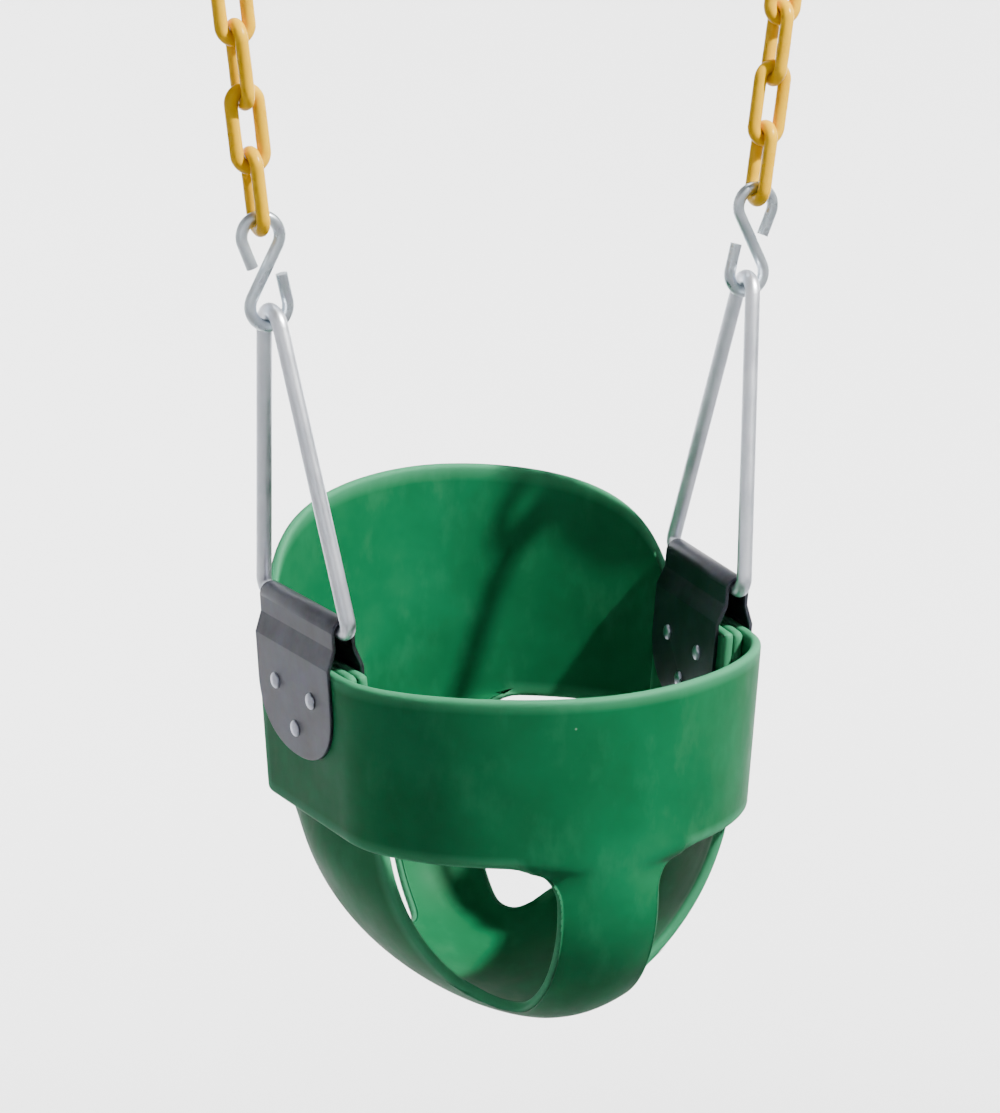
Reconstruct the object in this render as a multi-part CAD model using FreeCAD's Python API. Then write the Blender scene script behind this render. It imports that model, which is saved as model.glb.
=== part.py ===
import FreeCAD, Part
import math
import os

# High-back full-bucket toddler swing seat on two triangle hangers and coated chains.
# Millimetres, +Z up, -Y the front; left and right are as seen from the front, left at -X.
# The origin is on the centre line at the level of the lowest point of the seat, half way
# between its front and its back.

V = FreeCAD.Vector

# Overall sizes
bar_height = 233.0       # base bars above the lowest point of the seat
bar_spacing = 241.4      # between the two base-bar axes: the width of the seat
toe_deg = 4.8            # front ends of the base bars turned towards the centre
tilt_deg = 3.9           # plates and straps lean in towards their lower ends
lean_deg = 6.8           # hangers and chains lean out towards the beam

# Hangers, hooks and chain
hanger_rod = 8.5
hanger_base = 107.6
hanger_height = 167.0    # base-bar axis to the rod centre at the apex, up the leaning plane
hanger_base_bend = 6.5
hanger_apex_bend = 10.5
hook_wire = 6.5
hook_loop_radius = 10.5
hook_loop_spacing = 37.5
hook_closed_lean = 15.0  # degrees that the upper tail leans in, until it nearly meets the diagonal
hook_closed_tail = 13.5
hook_open_lean = 6.0
hook_open_tail = 15.0
links_per_side = 5
link_wire = 7.3          # over the coating
link_core = 5.2
link_inner_length = 33.6
link_width = 15.1        # between the centres of the two legs
contact_gap = 0.4        # between chain links and hooks
apex_gap = 0.9           # under the tight bend of the hanger apex

# Bracket plates and rivets
plate_sheet = 2.0
plate_width = 90.0
plate_straight = 45.0    # straight sides below the base-bar axis
plate_drop = 79.5
plate_neck = 9.0         # where the legs start to spread, below the base-bar axis
plate_crease = 20.0
eye_clearance = 0.6
rivet_shank = 5.0
rivet_head = 9.0
rivet_dome = 2.2
rivet_spread = 22.0
rivet_upper = 42.5
rivet_lower = 64.0
plate_round = 0.62       # pull of the two curves that round the tongue: higher is squarer

# Bucket shell
sheet = 6.0
middle_share = 0.45      # how far the straps run flat across the middle, as a share of their half width
strap_front = 53.0       # front ends of the straps, before the base-bar centre
strap_rear = 49.0
strap_top = 22.5
curve_start = 55.0       # where the straps leave the flat of the plates
band_depth = 138.0
band_bottom = 115.0
front_fullness = 36.0    # how far the strap keeps its heading before it bends round
front_turn_in = 4.8
back_depth = 125.0
back_bottom = 97.0
back_rise = 45.0         # top of the back above the base-bar axis
back_fullness = 26.0
back_turn_in = 25.0      # degrees that the back bends inward as it leaves the plates
shoulder_run = 15.0      # how far the rim runs back from the plates before it climbs
shoulder_climb = 0.55    # height of its first pull, as a share of the rise
crown_run = 0.72         # second pull, as shares of the back's depth and rise
crown_climb = 0.85
rim_end = 1.0            # how far the cut for the rim goes past the back
bowl_side = 120.0
side_turn = 106.0        # depth at which each wall starts to curve under
front_turn = 122.0
rear_turn = 99.0
bowl_flat = 1.5          # flattening of the lowest point
side_power = 1.8         # higher powers give squarer corners under the seat
front_power = 2.5
rear_power = 2.8
arm_flat_end = 99.0      # below here the sling's arms swell out to the side of the bowl
arm_swell = 43.0
arm_narrow_end = 100.0   # below here the sling widens from the straps to its full width
layer_gap = 0.04         # between the sling and the straps and plates on both sides of it
stem_half = 29.0
rear_half = 27.0
sling_front = 68.0
sling_rear = 58.0
opening_radius = 24.0
sling_stations = 5       # sections of the lofted sheets, and points along each section
flat_points = 14
swell_points = 12
under_points = 14
stem_stations = 5
stem_points = 10
halvings = 50            # when a depth is searched for

# Worked out from the sizes above
half = bar_spacing / 2.0
hanger_y = (band_depth - back_depth) / 2.0
hanger_middle = V(0, hanger_y, bar_height)
toe = math.radians(toe_deg)
tilt = math.radians(tilt_deg)
lean = math.radians(lean_deg)
stack = 3.0 * sheet
bowl_pole = bar_height + bowl_flat
apex_x = half + hanger_height * math.sin(lean)
apex_z = bar_height + hanger_height * math.cos(lean)
link_crown = link_inner_length / 2.0 + link_wire / 2.0
link_pitch = 2.0 * link_crown - link_wire - contact_gap
hook_reach = hook_loop_spacing / 2.0 + hook_loop_radius
hook_low = -(hanger_rod + hook_wire) / 2.0 - apex_gap
hook_centre = hook_low + hook_reach
first_link = hook_centre + hook_reach - (hook_wire + link_wire) / 2.0 - contact_gap + link_crown
last_link = first_link + (links_per_side - 1) * link_pitch
top_hook_centre = last_link + link_crown - (hook_wire + link_wire) / 2.0 - contact_gap + hook_reach


def export(node, shape):
    if not shape.isValid():
        print("not valid:", node)
    shape.exportStep("parts/%s.step" % node)
    print("%-22s %2d solid(s) %10.0f mm3" % (node, len(shape.Solids), shape.Volume))


def rod_along(edges, diameter):
    """Round rod along a chain of tangent lines and arcs."""
    runs = []
    for edge in edges:
        start = edge.valueAt(edge.FirstParameter)
        heading = edge.tangentAt(edge.FirstParameter)
        end = Part.Face(Part.Wire(Part.makeCircle(diameter / 2.0, start, heading)))
        if isinstance(edge.Curve, Part.Circle):
            turn = math.degrees(edge.LastParameter - edge.FirstParameter)
            runs.append(end.revolve(edge.Curve.Center, edge.Curve.Axis, turn))
        else:
            runs.append(end.extrude(edge.valueAt(edge.LastParameter) - start))
    return runs[0].multiFuse(runs[1:])


def arc_edge(centre_x, centre_z, radius, from_deg, to_deg):
    """Arc in the XZ plane, anticlockwise seen from the front."""
    points = []
    for k in range(3):
        angle = math.radians(from_deg + (to_deg - from_deg) * k / 2.0)
        points.append(V(centre_x + radius * math.cos(angle), 0, centre_z + radius * math.sin(angle)))
    return Part.Arc(*points).toShape()


def end_point(edge, last=True):
    return edge.valueAt(edge.LastParameter if last else edge.FirstParameter)


def on_stack(shape, side, distance, across):
    """Stand an XZ-plane shape on the leaning line of one side, turned to the YZ plane if across."""
    shape = shape.copy()
    if across:
        shape.rotate(V(0, 0, 0), V(0, 0, 1), 90)
    shape.rotate(V(0, 0, 0), V(0, 1, 0), side * lean_deg)
    x = side * (apex_x + distance * math.sin(lean))
    shape.translate(V(x, hanger_y, apex_z + distance * math.cos(lean)))
    return shape


def to_bracket(shape, side, leaning, middle=hanger_middle):
    """Place a shape built about a base bar along Y, its outside at +X, on one side of middle."""
    shape = shape.copy()
    if side < 0:
        shape = shape.mirror(V(0, 0, 0), V(1, 0, 0))
    shape.rotate(V(0, 0, 0), V(0, 1, 0), side * leaning)
    shape.rotate(V(0, 0, 0), V(0, 0, 1), -side * toe_deg)
    shape.translate(middle + V(side * half, 0, 0))
    return shape


# Chain, hooks and hangers

def oval(wire):
    """Link centre line in the XZ plane as a closed rod of the given wire."""
    radius = link_width / 2.0
    leg = link_crown - radius
    right = Part.makeLine(V(radius, 0, -leg), V(radius, 0, leg))
    left = Part.makeLine(V(-radius, 0, leg), V(-radius, 0, -leg))
    top = arc_edge(0, leg, radius, 0, 180)
    bottom = arc_edge(0, -leg, radius, 180, 360)
    return rod_along([right, top, left, bottom], wire)


def s_hook(turned):
    """S-hook in the XZ plane; turned swaps left and right."""
    offset = hook_loop_spacing / 2.0
    slope = math.degrees(math.asin(hook_loop_radius / offset))
    upper = arc_edge(0, offset, hook_loop_radius, -slope, 180 + hook_closed_lean)
    lower = arc_edge(0, -offset, hook_loop_radius, 180 - slope, 360 + hook_open_lean)
    diagonal = Part.makeLine(end_point(lower, False), end_point(upper, False))
    path = [diagonal, upper, lower]
    for bend, length in ((upper, hook_closed_tail), (lower, hook_open_tail)):
        tip = end_point(bend)
        path.append(Part.makeLine(tip, tip + bend.tangentAt(bend.LastParameter) * length))
    shape = rod_along(path, hook_wire)
    if turned:
        shape = shape.mirror(V(0, 0, 0), V(1, 0, 0))
    return shape


def hanger():
    """Closed triangle of rod in the YZ plane, its base bar along Y through the origin."""
    centre = hanger_height - hanger_apex_bend
    reach = math.hypot(hanger_base / 2.0, centre)
    half_angle = math.atan2(hanger_base / 2.0, centre) - math.asin(hanger_apex_bend / reach)
    peak = hanger_base / 2.0 / math.tan(half_angle)
    corners = [V(0, -hanger_base / 2.0, 0), V(0, hanger_base / 2.0, 0), V(0, 0, peak)]
    bends = [hanger_base_bend, hanger_base_bend, hanger_apex_bend]
    marks = []
    for k in range(3):
        corner = corners[k]
        before = (corners[k - 1] - corner).normalize()
        after = (corners[(k + 1) % 3] - corner).normalize()
        turn = before.getAngle(after) / 2.0
        middle = (before + after).normalize()
        setback = bends[k] / math.tan(turn)
        mid = corner + middle * (bends[k] / math.sin(turn) - bends[k])
        marks.append((corner + before * setback, mid, corner + after * setback))
    start = (marks[0][2] + marks[1][0]) * 0.5
    edges = [Part.makeLine(start, marks[1][0])]
    for k in (1, 2, 0):
        edges.append(Part.Arc(*marks[k]).toShape())
        nearest = marks[(k + 1) % 3][0] if k else start
        edges.append(Part.makeLine(marks[k][2], nearest))
    return rod_along(edges, hanger_rod)


# Bracket plates and rivets

def plate_profile(inset):
    """Folded sheet section in the XZ plane: inset 0 is its outer skin, inset plate_sheet its inner."""
    eye = hanger_rod / 2.0 + eye_clearance + plate_sheet - inset
    leg = stack / 2.0 + plate_sheet - inset
    low = -plate_drop - 1.0
    neck = -plate_neck - inset / 2.0
    crease = -plate_crease - inset / 2.0
    side = [V(-eye, 0, 0), V(-eye, 0, neck), V(-leg, 0, crease), V(-leg, 0, low)]
    other = [V(-p.x, 0, p.z) for p in reversed(side)]
    edges = [Part.Arc(other[-1], V(0, 0, eye), side[0]).toShape()]
    ring = side + other
    for k in range(len(ring) - 1):
        edges.append(Part.makeLine(ring[k], ring[k + 1]))
    return Part.Face(Part.Wire(edges))


def plate():
    """Sheet folded over the base bar, both legs ending in a broad rounded tongue."""
    reach = plate_width / 2.0
    fold = plate_profile(0.0).cut(plate_profile(plate_sheet))
    fold.translate(V(0, -reach, 0))
    body = fold.extrude(V(0, plate_width, 0))
    top = hanger_rod * 2.0
    corner = plate_straight + plate_round * (plate_drop - plate_straight)
    left = Part.BezierCurve()
    left.setPoles([V(0, -reach, -plate_straight), V(0, -reach, -corner),
                   V(0, -plate_round * reach, -plate_drop), V(0, 0, -plate_drop)])
    right = Part.BezierCurve()
    right.setPoles([V(0, 0, -plate_drop), V(0, plate_round * reach, -plate_drop),
                    V(0, reach, -corner), V(0, reach, -plate_straight)])
    outline = [left.toShape(), right.toShape(),
               Part.makeLine(V(0, reach, -plate_straight), V(0, reach, top)),
               Part.makeLine(V(0, reach, top), V(0, -reach, top)),
               Part.makeLine(V(0, -reach, top), V(0, -reach, -plate_straight))]
    tongue = Part.Face(Part.Wire(outline))
    tongue.translate(V(-stack, 0, 0))
    body = body.common(tongue.extrude(V(2.0 * stack, 0, 0)))
    for hole in rivet_places():
        body = body.cut(hole_at(hole))
    return body


def rivet_places():
    return [V(0, -rivet_spread, -rivet_upper), V(0, rivet_spread, -rivet_upper), V(0, 0, -rivet_lower)]


def hole_at(place):
    return Part.makeCylinder(rivet_shank / 2.0, 4.0 * stack, place - V(2.0 * stack, 0, 0), V(1, 0, 0))


def rivets():
    """Three peened rivets through both plates and the three straps, a dome at each end."""
    face = stack / 2.0 + plate_sheet
    ball = ((rivet_head / 2.0) ** 2 + rivet_dome ** 2) / (2.0 * rivet_dome)
    found = []
    for place in rivet_places():
        one = Part.makeCylinder(rivet_shank / 2.0, 2.0 * face, place - V(face, 0, 0), V(1, 0, 0))
        for way in (-1, 1):
            dome = Part.makeSphere(ball, place + V(way * (face + rivet_dome - ball), 0, 0))
            keep = Part.makeBox(rivet_dome * 2.0, rivet_head * 2.0, rivet_head * 2.0)
            keep.translate(place + V(face if way > 0 else -face - rivet_dome * 2.0, -rivet_head, -rivet_head))
            one = one.fuse(dome.common(keep))
        found.append(one.removeSplitter())
    return Part.makeCompound(found)


# Bucket shell, built about the middle of the two base bars

def side_x(layer, y, z):
    """Where a strap face stands: layer is its distance outward from the middle of the stack."""
    return half + layer + y * math.tan(toe) + z * math.tan(tilt)


def sweep_of_strap(z, layer, start_y, depth, fullness, turn_in, end_y):
    """One face of a strap at one height, from its right end round to its left end."""
    sign = 1.0 if start_y > 0 else -1.0
    x = side_x(layer, start_y, z)
    inward = math.radians(turn_in)
    pull = V(x - fullness * math.sin(inward), start_y + sign * fullness * math.cos(inward), z)
    flat = V(middle_share * x, sign * depth, z)
    end = V(side_x(layer, end_y, z), end_y, z)
    right = Part.BezierCurve()
    right.setPoles([V(x, start_y, z), pull, flat, V(0, sign * depth, z)])
    left = Part.BezierCurve()
    left.setPoles([V(0, sign * depth, z), V(-flat.x, flat.y, z), V(-pull.x, pull.y, z), V(-x, start_y, z)])
    return [Part.makeLine(end, V(x, start_y, z)), right.toShape(), left.toShape(),
            Part.makeLine(V(-x, start_y, z), V(-end.x, end_y, z))]


def strap_wall(layer, start_y, depth, bend, end_y, z_low, z_high):
    """Upright strap of one sheet, leaning in towards its lower edge."""
    wires = []
    for z in (z_low, z_high):
        outer = sweep_of_strap(z, layer + sheet / 2.0, start_y, depth, *bend, end_y)
        inner = sweep_of_strap(z, layer - sheet / 2.0, start_y, depth - sheet, *bend, end_y)
        first, last = end_point(outer[0], False), end_point(outer[-1])
        inner_first, inner_last = end_point(inner[0], False), end_point(inner[-1])
        ring = outer + [Part.makeLine(last, inner_last)] + inner + [Part.makeLine(inner_first, first)]
        wires.append(Part.Wire(Part.sortEdges(ring)[0]))
    return Part.makeLoft(wires, True, True)


def dome(radius, turn, power, depth, pole):
    """Half width of a wall that drops straight to turn and then curves under to the pole."""
    if depth <= turn:
        return radius
    share = min((depth - turn) / (pole - turn), 1.0)
    return radius * (1.0 - share ** power) ** (1.0 / power)


def bowl_half(depth, inset):
    return dome(bowl_side - inset, side_turn, side_power, depth, bowl_pole - inset)


def bowl_long(depth, inset, sign):
    """How far the bowl reaches to the front (sign -1) or the rear (sign 1) at a depth."""
    if sign < 0:
        return dome(band_depth - inset, front_turn, front_power, depth, bowl_pole - inset)
    return dome(back_depth - inset, rear_turn, rear_power, depth, bowl_pole - inset)


def bowl_x(depth, y, inset):
    across = y / max(bowl_long(depth, inset, 1.0 if y > 0 else -1.0), 1e-6)
    return bowl_half(depth, inset) * math.sqrt(max(1.0 - across ** 2, 0.0))


def bowl_y(depth, x, inset, sign):
    across = x / max(bowl_half(depth, inset), 1e-6)
    return sign * bowl_long(depth, inset, sign) * math.sqrt(max(1.0 - across ** 2, 0.0))


def depth_where(reaches, target, high, low):
    """Depth between high and low at which a falling measure comes down to the target."""
    for _ in range(halvings):
        middle = (high + low) / 2.0
        if reaches(middle) > target:
            high = middle
        else:
            low = middle
    return (high + low) / 2.0


def spline(points):
    curve = Part.BSplineCurve()
    curve.interpolate(points)
    return curve.toShape()


def closed_section(outer, inner):
    """Closed wire of two open curves of points that run the same way."""
    ends = [Part.makeLine(outer[-1], inner[-1]), Part.makeLine(inner[0], outer[0])]
    ring = [spline(outer), ends[0], spline(inner), ends[1]]
    return Part.Wire(Part.sortEdges(ring)[0])


def strip(half_width, far, edge, z_top):
    """Block that trims a stem: straight sides, flared by arcs where it meets the sling and the band."""
    sign = 1.0 if far > 0 else -1.0
    r = opening_radius
    k = r * (1.0 - math.sqrt(0.5))
    near = edge * sign
    plan = []
    for way in (1.0, -1.0):
        tip = V(way * half_width, sign * (abs(near) + r), 0)
        mid = V(way * (half_width + k), sign * (abs(near) + k), 0)
        root = V(way * (half_width + r), near, 0)
        plan.append((tip, mid, root))
    (t1, m1, r1), (t2, m2, r2) = plan
    out1, out2 = V(t1.x, far, 0), V(t2.x, far, 0)
    edges = [Part.makeLine(out1, t1), Part.Arc(t1, m1, r1).toShape(), Part.makeLine(r1, r2),
             Part.Arc(r2, m2, t2).toShape(), Part.makeLine(t2, out2), Part.makeLine(out2, out1)]
    low = Part.Face(Part.Wire(edges))
    low.translate(V(0, 0, -bar_height - sheet))
    low = low.extrude(V(0, 0, bar_height + sheet - z_top))
    wide = half_width + r
    crown = Part.makeBox(2.0 * wide, abs(far) - abs(near) - r, r, V(-wide, min(far, near + sign * r), -z_top))
    for way in (1.0, -1.0):
        bite = Part.makeCylinder(r, abs(far) * 2.0, V(way * wide, -abs(far), -z_top), V(0, 1, 0))
        crown = crown.cut(bite)
    return low.fuse(crown)


def stem(half_width, depth, edge, top, sign):
    """Centre strap from the lower edge of the front or the back down to the sling."""
    wide = half_width + opening_radius
    stations = []
    for step in range(stem_stations):
        x = wide * (2.0 * step / (stem_stations - 1.0) - 1.0)
        faces = []
        for inset in (0.0, sheet):
            low = depth_where(lambda d: abs(bowl_y(d, x, inset, sign)), edge, top, bowl_pole - inset)
            points = []
            for k in range(stem_points):
                down = top + (low - top) * math.sin(0.5 * math.pi * k / (stem_points - 1.0))
                points.append(V(x, bowl_y(down, x, inset, sign), -down))
            points[-1].y = sign * edge
            faces.append(points)
        stations.append(closed_section(*faces))
    skin = Part.makeLoft(stations, True, False)
    return skin.common(strip(half_width, sign * (depth + sheet), edge, top + opening_radius))


def holes(shape):
    """Rivet holes through a strap on both sides."""
    for side in (-1, 1):
        for place in rivet_places():
            shape = shape.cut(to_bracket(hole_at(place), side, tilt_deg, V(0, 0, 0)))
    return shape


def front_band():
    bend = (front_fullness, front_turn_in)
    return holes(strap_wall(sheet, -curve_start, band_depth, bend, strap_rear, -band_bottom, -strap_top))


def back_panel():
    bend = (back_fullness, back_turn_in)
    panel = strap_wall(0.0, strap_rear, back_depth, bend, -strap_front, -back_bottom, back_rise)
    reach = 2.0 * bar_spacing
    rim = Part.BezierCurve()
    rim_y = back_depth + rim_end
    rim.setPoles([V(0, strap_rear, -strap_top),
                  V(0, strap_rear + shoulder_run, back_rise * shoulder_climb),
                  V(0, crown_run * back_depth, back_rise * crown_climb),
                  V(0, rim_y, back_rise)])
    ceiling = back_rise + sheet
    corners = [V(0, rim_y, back_rise), V(0, rim_y, ceiling), V(0, -reach, ceiling),
               V(0, -reach, -strap_top), V(0, strap_rear, -strap_top)]
    edges = [rim.toShape()]
    for k in range(len(corners) - 1):
        edges.append(Part.makeLine(corners[k], corners[k + 1]))
    cutter = Part.Face(Part.Wire(edges))
    cutter.translate(V(-reach, 0, 0))
    return holes(panel.cut(cutter.extrude(V(2.0 * reach, 0, 0))))


def sling_x(depth, y, inset):
    """Arms flat between the plates, then swelling out to the side of the bowl."""
    flat = side_x(-sheet / 2.0 - layer_gap - inset, y, -depth)
    share = min(max((depth - arm_flat_end) / arm_swell, 0.0), 1.0)
    share = share * share * (3.0 - 2.0 * share)
    return flat + (bowl_x(depth, y, inset) - flat) * share


def sling_depths(low):
    """Depths down one half of the sling, closest together where its arms swell out."""
    swell_end = arm_flat_end + arm_swell
    depths = [strap_top + (arm_flat_end - strap_top) * k / flat_points for k in range(flat_points)]
    depths += [arm_flat_end + arm_swell * k / swell_points for k in range(swell_points)]
    for k in range(under_points):
        depths.append(swell_end + (low - swell_end) * math.sin(0.5 * math.pi * k / under_points))
    return depths


def seat_sling():
    """Sheet that passes under the seat from bracket to bracket, narrower between the plates."""
    stations = []
    for step in range(sling_stations):
        y = -sling_front + (sling_front + sling_rear) * step / (sling_stations - 1.0)
        sign = 1.0 if y > 0 else -1.0
        faces = []
        for inset in (0.0, sheet):
            pole = bowl_pole - inset
            low = depth_where(lambda d: bowl_long(d, inset, sign), abs(y), side_turn, pole)
            right = []
            for down in sling_depths(low):
                right.append(V(sling_x(down, y, inset), y, -down))
            left = [V(-p.x, y, p.z) for p in reversed(right)]
            faces.append(right + [V(0, y, -low)] + left)
        stations.append(closed_section(*faces))
    body = Part.makeLoft(stations, True, False)
    reach = bar_spacing
    for edge, wide, sign in ((strap_front, sling_front, -1.0), (strap_rear, sling_rear, 1.0)):
        far = wide + sheet
        outline = [V(-reach, sign * edge, 0), V(-reach, sign * edge, -arm_narrow_end),
                   V(-reach, sign * far, -arm_narrow_end - 2.0 * (far - edge)), V(-reach, sign * far, 0)]
        notch = Part.Face(Part.makePolygon(outline + [outline[0]]))
        body = body.cut(notch.extrude(V(2.0 * reach, 0, 0)))
    return holes(body)


def in_place(shape):
    """Move a shell piece from the middle of the base bars to where it hangs."""
    shape = shape.copy()
    shape.translate(hanger_middle)
    return shape


os.makedirs("parts", exist_ok=True)
export("front_band", in_place(front_band()))
export("front_stem", in_place(stem(stem_half, band_depth, sling_front, band_bottom, -1.0)))
export("seat_sling", in_place(seat_sling()))
export("rear_strap", in_place(stem(rear_half, back_depth, sling_rear, back_bottom, 1.0)))
export("back_panel", in_place(back_panel()))
one_hanger, one_plate, three_rivets = hanger(), plate(), rivets()
core = oval(link_core)
coating = oval(link_wire).cut(core)
for name, side in (("left", -1), ("right", 1)):
    export(name + "_hanger", to_bracket(one_hanger, side, lean_deg))
    export(name + "_plate", to_bracket(one_plate, side, tilt_deg))
    export(name + "_rivets", to_bracket(three_rivets, side, tilt_deg))
    export(name + "_s_hook", on_stack(s_hook(side > 0), side, hook_centre, False))
    for number in range(1, links_per_side + 1):
        place = first_link + (number - 1) * link_pitch
        export("%s_link_%d_core" % (name, number), on_stack(core, side, place, number % 2 == 1))
        export("%s_link_%d_coating" % (name, number), on_stack(coating, side, place, number % 2 == 1))
    export(name + "_top_hook", on_stack(s_hook(side > 0), side, top_hook_centre, False))
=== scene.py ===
import math
import bpy
import bmesh
from mathutils import Matrix, Vector


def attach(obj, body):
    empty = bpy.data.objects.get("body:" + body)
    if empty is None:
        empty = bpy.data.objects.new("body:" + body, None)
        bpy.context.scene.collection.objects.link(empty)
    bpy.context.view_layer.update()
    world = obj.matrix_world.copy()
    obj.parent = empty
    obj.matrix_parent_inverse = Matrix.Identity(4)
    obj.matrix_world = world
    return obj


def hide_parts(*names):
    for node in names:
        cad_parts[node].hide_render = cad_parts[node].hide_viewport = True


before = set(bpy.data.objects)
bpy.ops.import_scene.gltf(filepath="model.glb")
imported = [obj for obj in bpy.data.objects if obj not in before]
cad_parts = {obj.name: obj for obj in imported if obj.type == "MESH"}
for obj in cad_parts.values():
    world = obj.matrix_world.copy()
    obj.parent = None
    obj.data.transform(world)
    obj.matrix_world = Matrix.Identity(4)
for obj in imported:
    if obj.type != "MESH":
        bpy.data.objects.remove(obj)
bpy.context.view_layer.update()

# How the seat hangs, in metres and degrees
hang = dict(barHeight=0.233, barSpacing=0.2414, toe=4.8, tilt=3.9, lean=6.8, y=0.0065, hangerHeight=0.167)
halfBar = hang["barSpacing"] / 2
toeSlope = math.tan(math.radians(hang["toe"]))
tiltSlope = math.tan(math.radians(hang["tilt"]))
leanAngle = math.radians(hang["lean"])


def hangerApex(way):
    # rod centre at the top of a hanger, way -1 on the left and 1 on the right
    x = halfBar + hang["hangerHeight"] * math.sin(leanAngle)
    return Vector((way * x, hang["y"], hang["barHeight"] + hang["hangerHeight"] * math.cos(leanAngle)))


# Small helpers

def smoothStep(t):
    t = min(max(t, 0.0), 1.0)
    return t * t * (3 - 2 * t)


def bezier(points, t):
    a, b, c, d = points
    s = 1 - t
    return tuple(s ** 3 * a[k] + 3 * s * s * t * b[k] + 3 * s * t * t * c[k] + t ** 3 * d[k]
                 for k in range(len(a)))


def spread(start, end, cell):
    count = max(1, round(abs(end - start) / cell))
    return [start + (end - start) * k / count for k in range(count + 1)]


def resample(points, places):
    # Points at the given distances along a polyline, as shares of its length.
    lengths = [0.0]
    for k in range(1, len(points)):
        lengths.append(lengths[-1] + (points[k] - points[k - 1]).length)
    found, k = [], 1
    for place in places:
        goal = place * lengths[-1]
        while k < len(points) - 1 and lengths[k] < goal:
            k += 1
        run = max(lengths[k] - lengths[k - 1], 1e-12)
        found.append(points[k - 1].lerp(points[k], min(max((goal - lengths[k - 1]) / run, 0), 1)))
    return found


def newPiece(name, bm, material):
    mesh = bpy.data.meshes.new(name)
    bm.to_mesh(mesh)
    bm.free()
    piece = bpy.data.objects.new(name, mesh)
    bpy.context.scene.collection.objects.link(piece)
    mesh.materials.append(material)
    for face in mesh.polygons:
        face.use_smooth = True
    return piece


def bake(piece):
    # Turn a piece with live modifiers into a plain mesh.
    depsgraph = bpy.context.evaluated_depsgraph_get()
    mesh = bpy.data.meshes.new_from_object(piece.evaluated_get(depsgraph), depsgraph=depsgraph)
    piece.modifiers.clear()
    piece.data = mesh
    for face in mesh.polygons:
        face.use_smooth = True


# Materials

def startMaterial(name):
    material = bpy.data.materials.new(name)
    material.use_nodes = True
    tree = material.node_tree
    shader = tree.nodes["Principled BSDF"]
    place = tree.nodes.new("ShaderNodeTexCoord").outputs["Object"]
    return material, tree, shader, place


def noiseOf(tree, place, scale, detail=3.0, rough=0.5, stretch=None):
    if stretch:
        mapping = tree.nodes.new("ShaderNodeMapping")
        mapping.inputs["Scale"].default_value = stretch
        tree.links.new(place, mapping.inputs["Vector"])
        place = mapping.outputs["Vector"]
    noise = tree.nodes.new("ShaderNodeTexNoise")
    noise.inputs["Scale"].default_value = scale
    noise.inputs["Detail"].default_value = detail
    noise.inputs["Roughness"].default_value = rough
    tree.links.new(place, noise.inputs["Vector"])
    return noise.outputs["Fac"]


def rampOf(tree, value, stops):
    ramp = tree.nodes.new("ShaderNodeValToRGB")
    elements = ramp.color_ramp.elements
    while len(elements) < len(stops):
        elements.new(0.5)
    for element, (at, color) in zip(elements, stops):
        element.position = at
        element.color = (*color, 1)
    tree.links.new(value, ramp.inputs["Fac"])
    return ramp.outputs["Color"]


def rangeOf(tree, value, low, high, fromLow=0.3, fromHigh=0.7):
    mapRange = tree.nodes.new("ShaderNodeMapRange")
    for socket, number in (("From Min", fromLow), ("From Max", fromHigh), ("To Min", low), ("To Max", high)):
        mapRange.inputs[socket].default_value = number
    tree.links.new(value, mapRange.inputs["Value"])
    return mapRange.outputs["Result"]


def mixOf(tree, share, first, second, blend="MIX"):
    mix = tree.nodes.new("ShaderNodeMix")
    mix.data_type = "RGBA"
    mix.blend_type = blend
    sockets = {"Factor": share, "A": first, "B": second}
    for socket in mix.inputs:
        given = sockets.get(socket.name)
        if given is None or (socket.name != "Factor" and socket.type != "RGBA"):
            continue
        if socket.name == "Factor" and socket.type != "VALUE":
            continue
        if isinstance(given, bpy.types.NodeSocket):
            tree.links.new(given, socket)
        else:
            socket.default_value = given
    return [out for out in mix.outputs if out.type == "RGBA"][0]


def bumpOf(tree, shader, layers):
    # Stack bump layers of (height, strength, distance) on the shader's normal.
    last = None
    for height, strength, distance in layers:
        bump = tree.nodes.new("ShaderNodeBump")
        bump.inputs["Strength"].default_value = strength
        bump.inputs["Distance"].default_value = distance
        tree.links.new(height, bump.inputs["Height"])
        if last is not None:
            tree.links.new(last, bump.inputs["Normal"])
        last = bump.outputs["Normal"]
    tree.links.new(last, shader.inputs["Normal"])


# Greens of the moulded sheet; the paler rim green is a painted highlight
evaLook = dict(
    stops=((0.3, (0.0045, 0.098, 0.034)), (0.52, (0.006, 0.122, 0.045)), (0.75, (0.010, 0.150, 0.060))),
    haze=(0.075, 0.32, 0.17, 1), hazeMost=0.10, rimHighlight=(0.10, 0.42, 0.23, 1), rimHighlightMost=0.42,
    speck=(0.30, 0.52, 0.36, 1), speckMost=0.85, speckSize=(0.012, 0.030),
    rough=(0.46, 0.60), ior=1.17, glow=0.03, glowReach=(0.002, 0.006, 0.003),
    cloudScale=14, hazeScale=55, speckScale=26, grainScale=1400, rippleScale=42)


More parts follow.
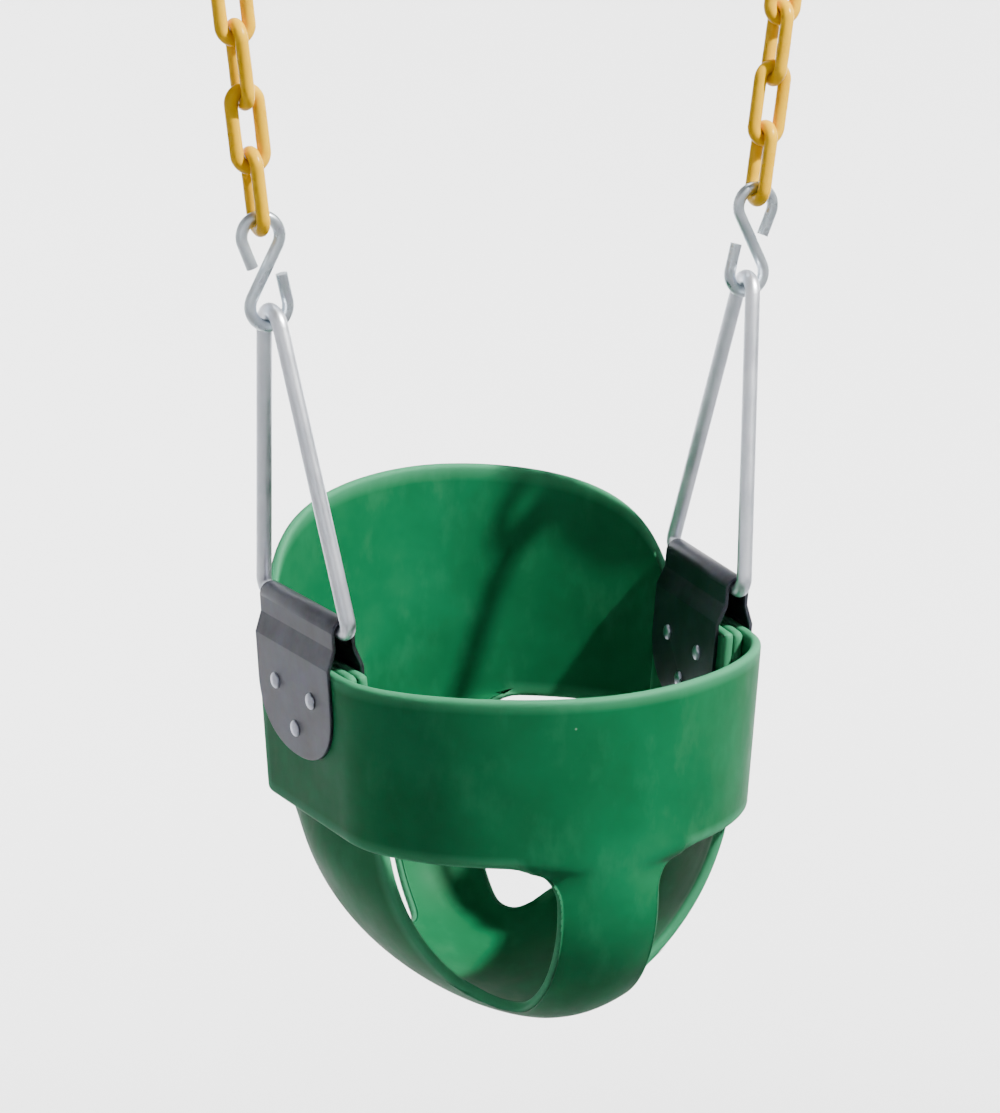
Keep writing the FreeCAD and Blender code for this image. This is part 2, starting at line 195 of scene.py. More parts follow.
def eva():
    # Moulded EVA sheet: satin green, faint clouding, a paler green painted on the rim as a highlight, and a few
    # specks.
    look = evaLook
    material, tree, shader, place = startMaterial("evaGreen")
    cloud = noiseOf(tree, place, look["cloudScale"], 4, 0.55)
    color = rampOf(tree, cloud, look["stops"])
    haze = noiseOf(tree, place, look["hazeScale"], 5, 0.6, (1, 1, 0.5))
    color = mixOf(tree, rangeOf(tree, haze, 0.0, look["hazeMost"], 0.52, 0.72), color, look["haze"])
    # paler green on the sheet's rim: a painted highlight where the rounded edge would catch the light
    edge = tree.nodes.new("ShaderNodeAttribute")
    edge.attribute_name = "paintedRimHighlight"
    rimHighlight = rangeOf(tree, edge.outputs["Fac"], 0.0, look["rimHighlightMost"], 0.0, 1.0)
    color = mixOf(tree, rimHighlight, color, look["rimHighlight"])
    speck = tree.nodes.new("ShaderNodeTexVoronoi")
    speck.inputs["Scale"].default_value = look["speckScale"]
    tree.links.new(place, speck.inputs["Vector"])
    dots = rangeOf(tree, speck.outputs["Distance"], look["speckMost"], 0.0, *look["speckSize"])
    color = mixOf(tree, dots, color, look["speck"])
    tree.links.new(color, shader.inputs["Base Color"])
    tree.links.new(rangeOf(tree, haze, *look["rough"]), shader.inputs["Roughness"])
    shader.inputs["IOR"].default_value = look["ior"]
    shader.inputs["Subsurface Weight"].default_value = look["glow"]
    shader.inputs["Subsurface Radius"].default_value = look["glowReach"]
    grain = noiseOf(tree, place, look["grainScale"], 2, 0.5)
    ripple = noiseOf(tree, place, look["rippleScale"], 2, 0.4)
    bumpOf(tree, shader, [(ripple, 0.25, 0.0012), (grain, 0.10, 0.0002)])
    return material


yellowLook = dict(
    stops=((0.3, (0.74, 0.40, 0.0)), (0.6, (0.80, 0.45, 0.0)), (0.8, (0.85, 0.50, 0.0))),
    scuff=(0.45, 0.22, 0.01, 1), scuffMost=0.4, rough=(0.24, 0.36), ior=1.28,
    cloudScale=60, scuffScale=420, lumpScale=210)


def plastisol():
    # Dipped chain coating: warm glossy yellow with a slightly uneven skin.
    look = yellowLook
    material, tree, shader, place = startMaterial("chainYellow")
    cloud = noiseOf(tree, place, look["cloudScale"], 3, 0.5)
    color = rampOf(tree, cloud, look["stops"])
    scuff = noiseOf(tree, place, look["scuffScale"], 4, 0.7)
    color = mixOf(tree, rangeOf(tree, scuff, 0.0, look["scuffMost"], 0.68, 0.82), color, look["scuff"])
    tree.links.new(color, shader.inputs["Base Color"])
    tree.links.new(rangeOf(tree, cloud, *look["rough"]), shader.inputs["Roughness"])
    shader.inputs["IOR"].default_value = look["ior"]
    lumps = noiseOf(tree, place, look["lumpScale"], 2, 0.5)
    bumpOf(tree, shader, [(lumps, 0.35, 0.0006)])
    return material


# Steel finishes: dark and light of the patches, how rough, how the drawn grain is stretched, spangle scale
zincLooks = dict(
    rodZinc=dict(dark=(0.76, 0.80, 0.88), light=(0.88, 0.91, 0.98), rough=(0.30, 0.44),
                 grain=(1, 1, 0.08), spangle=260),
    hookZinc=dict(dark=(0.55, 0.62, 0.68), light=(0.78, 0.85, 0.90), rough=(0.22, 0.38),
                  grain=(1, 1, 0.3), spangle=320),
    # the plates' zinc is made near black: painted shade for plates that hang in shadow
    shadedPlateZinc=dict(dark=(0.065, 0.066, 0.075), light=(0.11, 0.116, 0.145), rough=(0.36, 0.48),
                   grain=(1, 0.12, 1), spangle=220),
    rivetZinc=dict(dark=(0.38, 0.40, 0.48), light=(0.60, 0.62, 0.72), rough=(0.25, 0.40),
                   grain=(1, 1, 1), spangle=500),
    coreSteel=dict(dark=(0.35, 0.35, 0.36), light=(0.50, 0.50, 0.51), rough=(0.4, 0.6),
                   grain=(1, 1, 1), spangle=400))


def zinc(name):
    # Zinc-plated steel: cool grey, fine drawn grain, soft spangle and dull patches.
    look = zincLooks[name]
    material, tree, shader, place = startMaterial(name)
    patch = noiseOf(tree, place, 38, 4, 0.6)
    color = rampOf(tree, patch, [(0.3, look["dark"]), (0.7, look["light"])])
    crystal = tree.nodes.new("ShaderNodeTexVoronoi")
    crystal.inputs["Scale"].default_value = look["spangle"]
    tree.links.new(place, crystal.inputs["Vector"])
    color = mixOf(tree, 0.04, color, crystal.outputs["Color"], "OVERLAY")
    tree.links.new(color, shader.inputs["Base Color"])
    shader.inputs["Metallic"].default_value = 1.0
    fine = noiseOf(tree, place, 900, 3, 0.6, look["grain"])
    tree.links.new(rangeOf(tree, patch, *look["rough"]), shader.inputs["Roughness"])
    bumpOf(tree, shader, [(fine, 0.12, 0.00015)])
    return material


print("materials")
evaGreen = eva()
chainYellow = plastisol()
rodZinc, hookZinc, shadedPlateZinc, rivetZinc, coreSteel = (zinc(name) for name in zincLooks)


# Camera

view = dict(azimuth=-24.0, elevation=14.7, roll=0.6, distance=1.92, lens=113.2,
            target=(-0.0071, 0.0065, 0.2527))


def placeCamera():
    a, e, r = (math.radians(view[key]) for key in ("azimuth", "elevation", "roll"))
    back = Vector((math.sin(a) * math.cos(e), -math.cos(a) * math.cos(e), math.sin(e)))
    right = Vector((math.cos(a), math.sin(a), 0))
    up = back.cross(right)
    turnedRight = right * math.cos(r) + up * math.sin(r)
    turnedUp = up * math.cos(r) - right * math.sin(r)
    data = bpy.data.cameras.new("camera")
    data.lens = view["lens"]
    data.sensor_width = 36
    data.clip_end = 50
    camera = bpy.data.objects.new("camera", data)
    place = Matrix((turnedRight, turnedUp, back)).transposed().to_4x4()
    place.translation = Vector(view["target"]) + back * view["distance"]
    camera.matrix_world = place
    bpy.context.scene.collection.objects.link(camera)
    bpy.context.scene.camera = camera


placeCamera()
print("camera")


# Bucket shell: one moulded sheet, a cross with two T-shaped ends, drawn at mid thickness

bucket = dict(
    sheet=0.006, thickness=0.0058, edgeRound=0.0026, cell=0.008,
    strapTop=0.0225, strapFront=0.053, strapRear=0.049, curveStart=0.055, middleShare=0.45,
    bandDepth=0.138, bandBottom=0.115, bandPull=0.036, bandTurn=4.8,
    backDepth=0.125, backBottom=0.097, backRise=0.045, backPull=0.026, backTurn=25.0,
    side=0.120, pole=0.2345, sideTurn=0.106, frontTurn=0.122, rearTurn=0.099,
    sidePower=1.8, frontPower=2.5, rearPower=2.8,
    armFlat=0.099, armSwell=0.043, armWiden=0.093, armWidenRun=0.030,
    stemHalf=0.029, rearHalf=0.027, slingFront=0.068, slingRear=0.058,
    openingRadius=0.024, stemJoin=0.045, backRows=14,
    rimRun=0.015, rimRise=(0.55, 0.85), rimReach=0.72,
    flareSteps=(0.0, 0.0022, 0.0055, 0.010, 0.0165),
    threadLength=0.30, threadEnd=(0, 0.012), threadEven=0.035,
    threadSteps=240, curveSteps=160, stemSteps=120, planStep=0.002)
mid = bucket["sheet"] / 2


def dome(radius, turn, power, depth):
    pole = bucket["pole"] - mid
    share = min(max((depth - turn) / (pole - turn), 0.0), 1.0)
    return radius * (1 - share ** power) ** (1 / power)


def bowlHalf(depth):
    return dome(bucket["side"] - mid, bucket["sideTurn"], bucket["sidePower"], depth)


def bowlLong(depth, way):
    if way < 0:
        return dome(bucket["bandDepth"] - mid, bucket["frontTurn"], bucket["frontPower"], depth)
    return dome(bucket["backDepth"] - mid, bucket["rearTurn"], bucket["rearPower"], depth)


def bowlX(depth, y):
    across = y / max(bowlLong(depth, 1 if y > 0 else -1), 1e-9)
    return bowlHalf(depth) * math.sqrt(max(1 - across ** 2, 0))


def bowlY(depth, x, way):
    across = x / max(bowlHalf(depth), 1e-9)
    return way * bowlLong(depth, way) * math.sqrt(max(1 - across ** 2, 0))


def sideX(layer, y, depth):
    return halfBar + layer + y * toeSlope - depth * tiltSlope


def depthWhere(reach, target, high):
    low = bucket["pole"] - mid
    for _ in range(60):
        middle = (high + low) / 2
        high, low = (middle, low) if reach(middle) > target else (high, middle)
    return (high + low) / 2


def slingPoint(depth, y):
    # Point of the sling at a depth: y is where its thread runs under the seat.
    wide = smoothStep((depth - bucket["armWiden"]) / bucket["armWidenRun"])
    end = "Front" if y < 0 else "Rear"
    edge, narrow = bucket["sling" + end], bucket["strap" + end]
    y = y / edge * (narrow + (edge - narrow) * wide)
    flat = sideX(-bucket["sheet"], y, depth)
    share = smoothStep((depth - bucket["armFlat"]) / bucket["armSwell"])
    return Vector((flat + (bowlX(depth, y) - flat) * share, y, -depth))


def slingThread(y, shares):
    # Half of one lengthwise thread of the sling, from the right bracket to the middle.
    low = depthWhere(lambda d: bowlLong(d, 1 if y > 0 else -1), abs(y), bucket["sideTurn"])
    points = []
    steps = bucket["threadSteps"]
    for k in range(steps + 1):
        depth = bucket["strapTop"] + (low - bucket["strapTop"]) * math.sin(math.pi / 2 * k / steps)
        points.append(slingPoint(depth, y))
    points[-1].x = 0
    points[-1].y = y
    return resample(points, shares)


def planCurve(layer, straight, reach, pull, turn, height, endY):
    # Right half of a strap seen from above at one height, from its end to the middle.
    way = 1 if straight > 0 else -1
    x = sideX(layer, straight, height)
    inward = math.radians(turn)
    control = [(x, straight), (x - pull * math.sin(inward), straight + way * pull * math.cos(inward)),
               (bucket["middleShare"] * x, way * reach), (0, way * reach)]
    points = [Vector((sideX(layer, y, height), y, -height)) for y in spread(endY, straight, bucket["planStep"])]
    for k in range(1, bucket["curveSteps"] + 1):
        px, py = bezier(control, k / bucket["curveSteps"])
        points.append(Vector((px, py, -height)))
    return points


def crossings(points, xs):
    # Points of a plan curve at given x, all in its last stretch where x falls steadily.
    found = []
    for goal in xs:
        for k in range(len(points) - 1, 0, -1):
            a, b = points[k - 1], points[k]
            if a.x >= goal >= b.x:
                found.append(a.lerp(b, (a.x - goal) / max(a.x - b.x, 1e-12)))
                break
    return found


def rimHeight(y):
    # Height of the back's rim above the bars, by how far back it is.
    start, end = bucket["strapRear"], bucket["backDepth"] + 0.001
    rise, most = bucket["backRise"], bucket["rimRise"]
    control = [(start, -bucket["strapTop"]), (start + bucket["rimRun"], rise * most[0]),
               (bucket["rimReach"] * bucket["backDepth"], rise * most[1]), (end, rise)]
    if y <= start:
        return -bucket["strapTop"]
    low, high = 0.0, 1.0
    for _ in range(40):
        middle = (low + high) / 2
        low, high = (middle, high) if bezier(control, middle)[0] < y else (low, middle)
    return bezier(control, low)[1]


def addGrid(bm, rows):
    grid = [[bm.verts.new(p) for p in row] for row in rows]
    for i in range(len(grid) - 1):
        for j in range(len(grid[0]) - 1):
            bm.faces.new((grid[i][j], grid[i][j + 1], grid[i + 1][j + 1], grid[i + 1][j]))


def mirrored(points):
    return [Vector((-p.x, p.y, p.z)) for p in reversed(points[:-1])]


def strapColumns(columns, heights, layer, straight, reach, pull, turn, endY):
    # Rows of a strap: shared columns near the middle, evenly spread ones to its end.
    rows = []
    for height in heights:
        curve = planCurve(layer, straight, reach, pull, turn, height, endY)
        edge = columns[0]
        inner = crossings(curve, columns)
        k = max(i for i in range(len(curve)) if curve[i].x > edge)
        outer = curve[:k + 1] + [inner[0]]
        count = round(sum((outer[i + 1] - outer[i]).length for i in range(len(outer) - 1)) / bucket["cell"])
        count = strapCounts.setdefault((layer, straight), count)
        outer = resample(outer, [i / count for i in range(count + 1)])
        half = outer[:-1] + inner
        rows.append(half + mirrored(half))
    return rows


strapCounts = {}


def stemRows(xs, half, top, edge, way, topRow):
    # Rows of a centre strap from the strap above down to the sling, flared at both ends.
    wide = xs[0]
    flare = wide - half
    share = [x / wide for x in xs]
    low0 = depthWhere(lambda d: abs(bowlY(d, 0, way)), edge, top)
    count = bucket["stemSteps"]
    depths = [top + (low0 - top) * math.sin(math.pi / 2 * k / count) for k in range(count + 1)]
    middle = [Vector((0, bowlY(depth, 0, way), -depth)) for depth in depths]
    length = sum((middle[k + 1] - middle[k]).length for k in range(count))
    near = [*bucket["flareSteps"], flare]
    steps = near + spread(flare, length - flare, bucket["cell"])[1:-1] + [length - d for d in reversed(near)]
    rows = []
    for d in steps:
        gap = min(d, length - d)
        width = half + flare - math.sqrt(max(flare ** 2 - (flare - min(gap, flare)) ** 2, 0))
        row = []
        for n, u in enumerate(share):
            x = u * width
            low = depthWhere(lambda t: abs(bowlY(t, x, way)), edge, top)
            curve = []
            for k in range(count // 2 + 1):
                depth = top + (low - top) * math.sin(math.pi / 2 * k / (count // 2))
                curve.append(Vector((x, bowlY(depth, x, way), -depth)))
            point = resample(curve, [d / length])[0]
            lift = max(1 - d / bucket["stemJoin"], 0) ** 2
            point.y += (topRow[n].y - curve[0].y) * lift
            row.append(point)
        rows.append(row + mirrored(row))
    return rows


def paintedRimMask(bm):
    # marks the rim of the sheet, where the green material paints its highlight
    layer = bm.verts.layers.float.new("paintedRimHighlight")
    for vert in bm.verts:
        vert[layer] = 1.0 if vert.is_boundary else 0.0


def buildShell():
    shares = [*bucket["threadEnd"], *spread(bucket["threadEven"], 1, bucket["cell"] / bucket["threadLength"])]
    ys = spread(-bucket["slingFront"], 0, bucket["cell"]) + spread(0, bucket["slingRear"], bucket["cell"])[1:]
    bm = bmesh.new()
    rows = []
    for y in ys:
        half = slingThread(y, shares)
        rows.append(half + mirrored(half))
    addGrid(bm, rows)
    parts = (
        (rows[0], bucket["stemHalf"], bucket["bandBottom"], bucket["slingFront"], -1,
         (bucket["sheet"], -bucket["curveStart"], bucket["bandDepth"] - mid,
          bucket["bandPull"], bucket["bandTurn"], bucket["strapRear"]), None),
        (rows[-1], bucket["rearHalf"], bucket["backBottom"], bucket["slingRear"], 1,
         (0.0, bucket["strapRear"], bucket["backDepth"] - mid,
          bucket["backPull"], bucket["backTurn"], -bucket["strapFront"]), rimHeight))
    for row, half, bottom, edge, way, strap, rim in parts:
        layer, straight, reach, pull, turn, endY = strap
        wide = half + bucket["openingRadius"]
        middle = len(row) // 2
        first = min(range(middle), key=lambda i: abs(row[i].x - wide))
        xs = [row[i].x for i in range(first, middle + 1)]
        if rim is None:
            heights = spread(bottom, bucket["strapTop"], bucket["cell"])
            grid = strapColumns(xs, heights, layer, straight, reach, pull, turn, endY)
        else:
            low = strapColumns(xs, [bottom], layer, straight, reach, pull, turn, endY)[0]
            count = bucket["backRows"]
            grid = [[] for _ in range(count + 1)]
            for n, point in enumerate(low):
                top = rim(point.y)
                for k in range(count + 1):
                    height = bottom - (bottom + top) * k / count
                    push = (bottom - height) * tiltSlope * smoothStep(abs(point.x) / halfBar)
                    shift = math.copysign(push, point.x) if abs(point.x) > 1e-9 else 0
                    grid[k].append(Vector((point.x + shift, point.y, -height)))
        addGrid(bm, grid)
        centre = len(grid[0]) // 2
        topRow = grid[0][centre - len(xs) + 1:centre + 1]
        stem = stemRows(xs, half, bottom, edge, way, topRow)
        for n in range(len(stem[-1])):
            stem[-1][n] = row[first + n].copy()
            stem[0][n] = grid[0][centre - len(xs) + 1 + n].copy()
        addGrid(bm, stem)
    bmesh.ops.remove_doubles(bm, verts=bm.verts, dist=0.00005)
    bmesh.ops.recalc_face_normals(bm, faces=bm.faces)
    paintedRimMask(bm)
    bmesh.ops.translate(bm, verts=bm.verts, vec=(0, hang["y"], hang["barHeight"]))
    bad = sum(1 for edge in bm.edges if not edge.is_manifold and not edge.is_boundary)
    print("shell sheet", len(bm.verts), "points", bad, "bad")
    shell = newPiece("bucketShell", bm, evaGreen)
    smooth = shell.modifiers.new("smooth", "SUBSURF")
    smooth.levels = smooth.render_levels = 1
    thick = shell.modifiers.new("thick", "SOLIDIFY")
    thick.thickness = bucket["thickness"]
    thick.offset = 0
    thick.use_even_offset = True
    rounded = shell.modifiers.new("rounded", "BEVEL")
    rounded.width = bucket["edgeRound"]
    rounded.segments = 4
    rounded.limit_method = "ANGLE"
    rounded.angle_limit = math.radians(60)
    rounded.use_clamp_overlap = False
    bake(shell)
    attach(shell, "seat")
    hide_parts("front_band", "front_stem", "seat_sling", "rear_strap", "back_panel")
    print("shell", len(shell.data.polygons), "faces")


buildShell()


# Geometry Nodes helpers

def newTree(name, inputs):
    # a node group with one geometry in and out and named inputs for its sizes
    tree = bpy.data.node_groups.new(name, "GeometryNodeTree")
    tree.interface.new_socket("Geometry", in_out="INPUT", socket_type="NodeSocketGeometry")
    for label, kind in inputs:
        tree.interface.new_socket(label, in_out="INPUT", socket_type="NodeSocket" + kind)
    tree.interface.new_socket("Geometry", in_out="OUTPUT", socket_type="NodeSocketGeometry")
    return tree, tree.nodes.new("NodeGroupInput").outputs


def node(tree, kind, ins=None, **settings):
    # add a node, set its options, then feed its inputs with sockets or plain numbers
    made = tree.nodes.new(kind)
    for key, value in settings.items():
        setattr(made, key, value)
    for key, value in (ins or {}).items():
        if isinstance(value, bpy.types.NodeSocket):
            tree.links.new(value, made.inputs[key])
        else:
            made.inputs[key].default_value = value
    return made


def calc(tree, operation, first, second=0.0):
    return node(tree, "ShaderNodeMath", {0: first, 1: second}, operation=operation).outputs[0]


def vector(tree, x=0.0, y=0.0, z=0.0):
    return node(tree, "ShaderNodeCombineXYZ", {0: x, 1: y, 2: z}).outputs[0]


def finishTree(tree, geometry, material):
    real = node(tree, "GeometryNodeRealizeInstances", {"Geometry": geometry}).outputs[0]
    smooth = node(tree, "GeometryNodeSetShadeSmooth", {"Geometry": real}).outputs[0]
    dressed = node(tree, "GeometryNodeSetMaterial", {"Geometry": smooth, "Material": material}).outputs[0]
    tree.links.new(dressed, tree.nodes.new("NodeGroupOutput").inputs[0])


def runTree(name, tree, values, body, replaced, points=None):
    # evaluate the tree once with these inputs and keep the result as a plain mesh on one body
    mesh = bpy.data.meshes.new(name)
    if points:
        mesh.from_pydata([place for place, facing in points], [], [])
        facings = mesh.attributes.new("facing", "FLOAT_VECTOR", "POINT")
        for k, (place, facing) in enumerate(points):
            facings.data[k].vector = facing
    piece = bpy.data.objects.new(name, mesh)
    bpy.context.scene.collection.objects.link(piece)
    modifier = piece.modifiers.new("shape", "NODES")
    modifier.node_group = tree
    for item in tree.interface.items_tree:
        if item.in_out == "INPUT" and item.name in values:
            modifier[item.identifier] = values[item.name]
    bake(piece)
    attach(piece, body)
    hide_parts(*replaced)


# Chain: a column of dipped links, every other one turned, of which each body takes one

chainSizes = dict(count=5, wire=0.0073, inner=0.0336, width=0.0151, gap=0.0004, lump=0.00028,
                  around=18, along=110, firstLink=0.063250)


def linkTree():
    tree, given = newTree("chainLinks", [
        ("Crown", "Float"), ("Width", "Float"), ("Wire", "Float"), ("Lump", "Float"), ("First", "Float"),
        ("Pitch", "Float"), ("Count", "Int"), ("Chosen", "Int"), ("Anchor", "Vector"), ("Lean", "Vector")])
    radius = calc(tree, "MULTIPLY", given["Width"], 0.5)
    leg = calc(tree, "SUBTRACT", given["Crown"], radius)
    ring = node(tree, "GeometryNodeCurvePrimitiveCircle", {"Resolution": 64, "Radius": radius}).outputs[0]
    place = node(tree, "GeometryNodeInputPosition").outputs[0]
    parts = node(tree, "ShaderNodeSeparateXYZ", {0: place}).outputs
    side = calc(tree, "SIGN", parts[1])
    flip = vector(tree, 0.0, calc(tree, "MULTIPLY", side, leg))
    oval = node(tree, "GeometryNodeSetPosition", {"Geometry": ring, "Offset": flip}).outputs[0]
    oval = node(tree, "GeometryNodeResampleCurve", {"Curve": oval, "Count": chainSizes["along"]}).outputs[0]
    wire = node(tree, "GeometryNodeCurvePrimitiveCircle", {"Resolution": chainSizes["around"],
                "Radius": calc(tree, "MULTIPLY", given["Wire"], 0.5)}).outputs[0]
    link = node(tree, "GeometryNodeCurveToMesh", {"Curve": oval, "Profile Curve": wire}).outputs[0]
    upright = node(tree, "GeometryNodeTransform", {"Geometry": link,
                   "Rotation": (math.pi / 2, 0, 0)}).outputs[0]
    column = node(tree, "GeometryNodeMeshLine", {"Count": given["Count"],
                  "Start Location": vector(tree, z=given["First"]),
                  "Offset": vector(tree, z=given["Pitch"])}).outputs[0]
    number = node(tree, "GeometryNodeInputIndex").outputs[0]
    quarter = calc(tree, "MULTIPLY", calc(tree, "MODULO", calc(tree, "ADD", number, 1.0), 2.0), math.pi / 2)
    chosen = node(tree, "FunctionNodeCompare", {2: number, 3: given["Chosen"]},
                  data_type="INT", operation="EQUAL")
    links = node(tree, "GeometryNodeInstanceOnPoints", {"Points": column, "Selection": chosen.outputs[0],
                 "Instance": upright, "Rotation": vector(tree, z=quarter)}).outputs[0]
    real = node(tree, "GeometryNodeRealizeInstances", {"Geometry": links}).outputs[0]
    here = node(tree, "GeometryNodeInputPosition").outputs[0]
    noise = node(tree, "ShaderNodeTexNoise", {"Vector": here, "Scale": 95.0, "Detail": 2.0}).outputs[0]
    swell = calc(tree, "MULTIPLY", calc(tree, "SUBTRACT", noise, 0.56), given["Lump"])
    normal = node(tree, "GeometryNodeInputNormal").outputs[0]
    push = node(tree, "ShaderNodeVectorMath", {0: normal, "Scale": swell}, operation="SCALE").outputs[0]
    lumpy = node(tree, "GeometryNodeSetPosition", {"Geometry": real, "Offset": push}).outputs[0]
    leaned = node(tree, "GeometryNodeTransform", {"Geometry": lumpy, "Translation": given["Anchor"],
                  "Rotation": given["Lean"]}).outputs[0]
    finishTree(tree, leaned, chainYellow)
    return tree


def buildChains():
    c = chainSizes
    tree = linkTree()
    crown = (c["inner"] + c["wire"]) / 2
    for side, way in (("left", -1), ("right", 1)):
        for k in range(c["count"]):
            runTree("%s_chain_link_%d" % (side, k + 1), tree, {
                "Crown": crown, "Width": c["width"], "Wire": c["wire"], "Lump": c["lump"],
                "First": c["firstLink"], "Pitch": 2 * crown - c["wire"] - c["gap"],
                "Count": c["count"], "Chosen": k,
                "Anchor": hangerApex(way), "Lean": (0.0, way * leanAngle, 0.0)},
                "%s_link_%d" % (side, k + 1), ["%s_link_%d_coating" % (side, k + 1)])


buildChains()
print("chains")


# Rivets: a peened dome on both outer faces of a bracket, on one shank

rivetSizes = dict(shank=0.0025, head=0.0045, dome=0.0022, sunk=0.0003,
                  spread=0.022, upper=0.0425, lower=0.064, face=0.011, seed=4)


def rivetTree():
    tree, given = newTree("rivetHeads", [
        ("Head", "Float"), ("Dome", "Float"), ("Sunk", "Float"), ("Shank", "Float"), ("Length", "Float"),
        ("Seed", "Int")])
    ball = node(tree, "GeometryNodeMeshUVSphere", {"Segments": 28, "Rings": 18,
                "Radius": given["Head"]}).outputs[0]
    place = node(tree, "GeometryNodeInputPosition").outputs[0]
    parts = node(tree, "ShaderNodeSeparateXYZ", {0: place}).outputs
    share = calc(tree, "DIVIDE", parts[2], given["Head"])
    above = calc(tree, "POWER", calc(tree, "MAXIMUM", share, 0.0), 0.8)
    rise = calc(tree, "MULTIPLY", above, given["Dome"])
    sunk = calc(tree, "MULTIPLY", calc(tree, "MINIMUM", share, 0.0), given["Sunk"])
    shaped = vector(tree, parts[0], parts[1], calc(tree, "ADD", rise, sunk))
    head = node(tree, "GeometryNodeSetPosition", {"Geometry": ball, "Position": shaped}).outputs[0]
    post = node(tree, "GeometryNodeMeshCylinder", {"Vertices": 20, "Radius": given["Shank"],
                "Depth": given["Length"]}).outputs[0]
    post = node(tree, "GeometryNodeTransform", {"Geometry": post,
                "Translation": vector(tree, z=calc(tree, "MULTIPLY", given["Length"], -0.5))}).outputs[0]
    whole = tree.nodes.new("GeometryNodeJoinGeometry")
    tree.links.new(head, whole.inputs[0])
    tree.links.new(post, whole.inputs[0])
    facing = node(tree, "GeometryNodeInputNamedAttribute", {"Name": "facing"},
                  data_type="FLOAT_VECTOR").outputs[0]
    turned = node(tree, "FunctionNodeAlignRotationToVector", {"Vector": facing}).outputs[0]
    spin = node(tree, "FunctionNodeRandomValue", {2: 0.0, 3: 6.28, "Seed": given["Seed"]}).outputs[1]
    spun = node(tree, "FunctionNodeRotateRotation", {0: turned, 1: vector(tree, z=spin)},
                rotation_space="LOCAL").outputs[0]
    wobble = node(tree, "FunctionNodeRandomValue", {2: 0.94, 3: 1.03, "Seed": given["Seed"]}).outputs[1]
    heads = node(tree, "GeometryNodeInstanceOnPoints", {"Points": given["Geometry"],
                 "Instance": whole.outputs[0], "Rotation": spun,
                 "Scale": vector(tree, wobble, wobble, 1.0)}).outputs[0]
    finishTree(tree, heads, rivetZinc)
    return tree


def bracketPlace(way):
    # from a bracket's own space, outside at +X for the right one, to where it hangs
    turn = Matrix.Rotation(-way * math.radians(hang["toe"]), 4, "Z")
    tip = Matrix.Rotation(way * math.radians(hang["tilt"]), 4, "Y")
    return Matrix.Translation((way * halfBar, hang["y"], hang["barHeight"])) @ turn @ tip


def buildRivets():
    r = rivetSizes
    tree = rivetTree()
    for side, way in (("left", -1), ("right", 1)):
        stand = bracketPlace(way)
        points = []
        for y, drop in ((-r["spread"], r["upper"]), (r["spread"], r["upper"]), (0, r["lower"])):
            for out in (-1, 1):
                outward = stand.to_3x3() @ Vector((out, 0, 0))
                points.append((stand @ Vector((out * r["face"], y, -drop)), outward))
        runTree(side + "_rivet_heads", tree, {"Head": r["head"], "Dome": r["dome"], "Sunk": r["sunk"],
                "Shank": r["shank"], "Length": r["face"], "Seed": r["seed"] + way},
                "seat", [side + "_rivets"], points)


buildRivets()
print("rivets")


# Plates: the CAD shapes with their cut edges broken, and their broad flats left flat

edgeSizes = dict(width=0.0005, angle=50, merge=0.00001, flatAngle=0.6, flatArea=0.0003)


def softEdges(nodeName, name, material, body):
    e = edgeSizes
    bm = bmesh.new()
    bm.from_mesh(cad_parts[nodeName].data)
    bmesh.ops.remove_doubles(bm, verts=bm.verts, dist=e["merge"])
    bmesh.ops.dissolve_limit(bm, angle_limit=math.radians(e["flatAngle"]), verts=bm.verts, edges=bm.edges)
    piece = newPiece(name, bm, material)
    soft = piece.modifiers.new("soft", "BEVEL")
    soft.width = e["width"]
    soft.segments = 3
    soft.limit_method = "ANGLE"
    soft.angle_limit = math.radians(e["angle"])
    bake(piece)
    for face in piece.data.polygons:  # only folds and broken edges are smooth
        face.use_smooth = face.area < e["flatArea"]
    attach(piece, body)
    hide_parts(nodeName)


for side in ("left", "right"):
    softEdges(side + "_plate", side + "_bracket_plate", shadedPlateZinc, "seat")
print("plates")


# The other metal keeps its own shape and takes its finish here

finishes = (("core", coreSteel), ("hanger", rodZinc), ("hook", hookZinc))
for name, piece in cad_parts.items():
    for word, material in finishes:
        if word in name:
            piece.data.materials.clear()
            piece.data.materials.append(material)
            break
print("finishes")


# Floor, backdrop and light

stageSizes = dict(floor=-1.5, centre=0.02, flat=3.6, wall=5.2, top=6.5, around=96, bend=12)


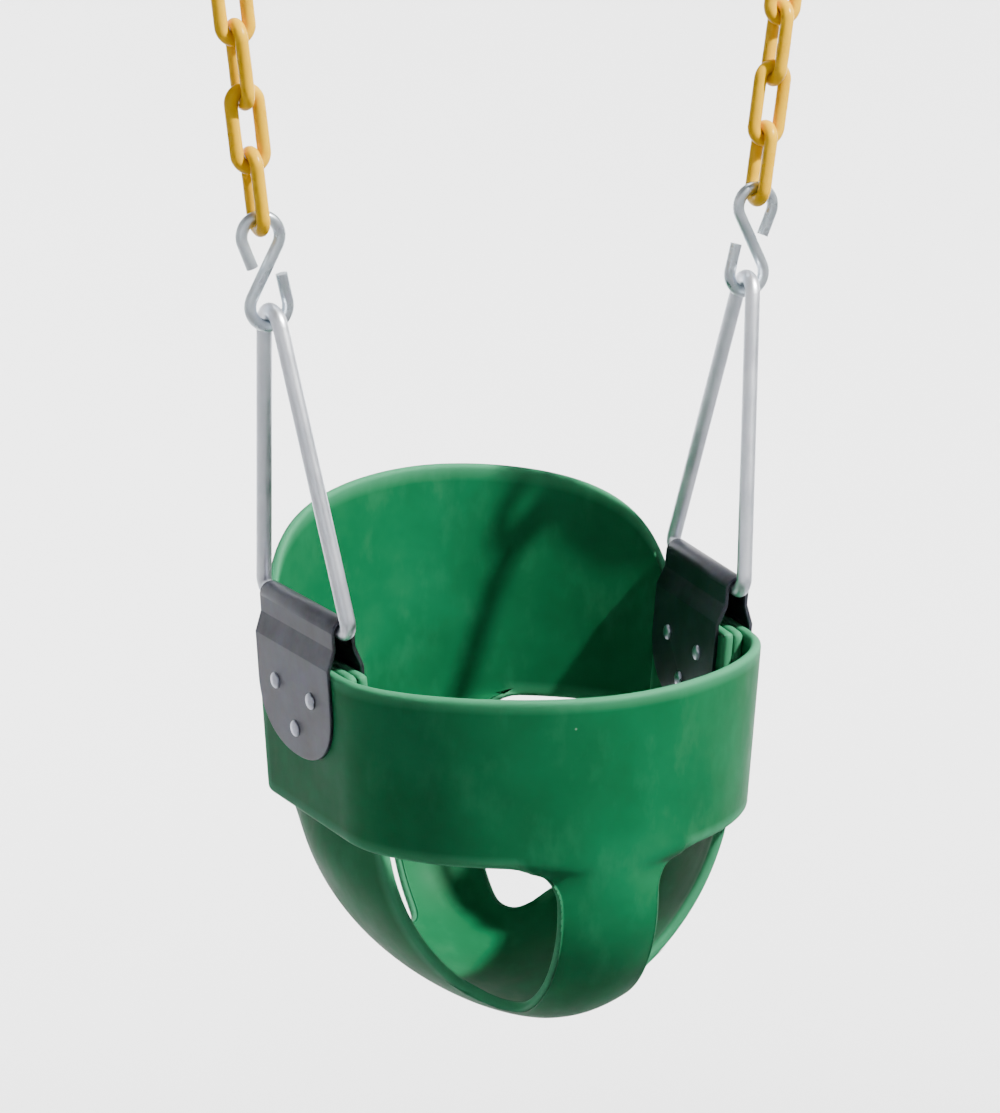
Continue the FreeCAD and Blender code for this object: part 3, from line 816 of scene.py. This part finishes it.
def addStage():
    # a round pale floor that curves up into a wall on every side
    t = stageSizes
    bend = t["wall"] - t["flat"]
    profile = [(t["centre"], t["floor"])]
    profile += [(t["flat"] + bend * math.sin(a), t["floor"] + bend - bend * math.cos(a))
                for a in spread(0, math.pi / 2, math.pi / 2 / t["bend"])]
    profile.append((t["wall"], t["top"]))
    bm = bmesh.new()
    turns = [2 * math.pi * k / t["around"] for k in range(t["around"] + 1)]
    addGrid(bm, [[Vector((r * math.cos(a), r * math.sin(a), h)) for a in turns] for r, h in profile])
    bmesh.ops.remove_doubles(bm, verts=bm.verts, dist=0.0001)
    material, tree, shader, place = startMaterial("paleStage")
    tint = rampOf(tree, noiseOf(tree, place, 2, 2), [(0.3, (0.90, 0.90, 0.90)), (0.7, (0.92, 0.92, 0.92))])
    tree.links.new(tint, shader.inputs["Base Color"])
    shader.inputs["Roughness"].default_value = 0.9
    newPiece("paleStage", bm, material)


keyLamp = dict(place=(1.10, -1.20, 2.20), target=(0, 0, 0.30), angle=34, power=800, color=(1.0, 0.975, 0.93),
               edge=0.5, softness=0.05)
softLamps = dict(
    fill=dict(place=(-1.6, -1.9, 0.9), target=(0, 0, 0.25), size=1.2, power=2.4, color=(0.90, 0.95, 1.0)),
    top=dict(place=(0.3, 0.7, 2.1), target=(0, 0, 0.2), size=0.6, power=8, color=(0.97, 0.99, 1)),
    backdropLeft=dict(place=(-1.3, 3.0, 1.4), target=(1.5, 4.6, -0.9), size=1.6, power=170, color=(1, 1, 1),
                      spreadAngle=120),
    backdropRight=dict(place=(3.9, 1.5, 1.4), target=(2.3, 4.4, -0.9), size=1.6, power=170, color=(1, 1, 1),
                       spreadAngle=120))
air = dict(color=(0.95, 0.97, 1.0, 1), strength=0.14)


def aim(name, data, place, target):
    lamp = bpy.data.objects.new(name, data)
    lamp.location = place
    lamp.rotation_euler = (Vector(target) - Vector(place)).to_track_quat("-Z", "Y").to_euler()
    bpy.context.scene.collection.objects.link(lamp)


def addLight(name, place, target, size, power, color, spreadAngle=180):
    data = bpy.data.lights.new(name, "AREA")
    data.shape = "DISK"
    data.spread = math.radians(spreadAngle)  # narrow for the backdrop lamps, which spill nothing on the seat
    data.size = size
    data.energy = power
    data.color = color
    aim(name, data, place, target)


def addKey(place, target, angle, power, color, edge, softness):
    # one lamp with a soft edge, kept to the seat and its chains
    data = bpy.data.lights.new("key", "SPOT")
    data.energy = power
    data.spot_size = math.radians(angle)
    data.spot_blend = edge
    data.shadow_soft_size = softness
    data.color = color
    aim("key", data, place, target)


addStage()
addKey(**keyLamp)
for name, lamp in softLamps.items():
    addLight(name, **lamp)
world = bpy.data.worlds.new("world")
bpy.context.scene.world = world
world.use_nodes = True
sky = world.node_tree.nodes["Background"]
sky.inputs["Color"].default_value = air["color"]
sky.inputs["Strength"].default_value = air["strength"]
print("stage")
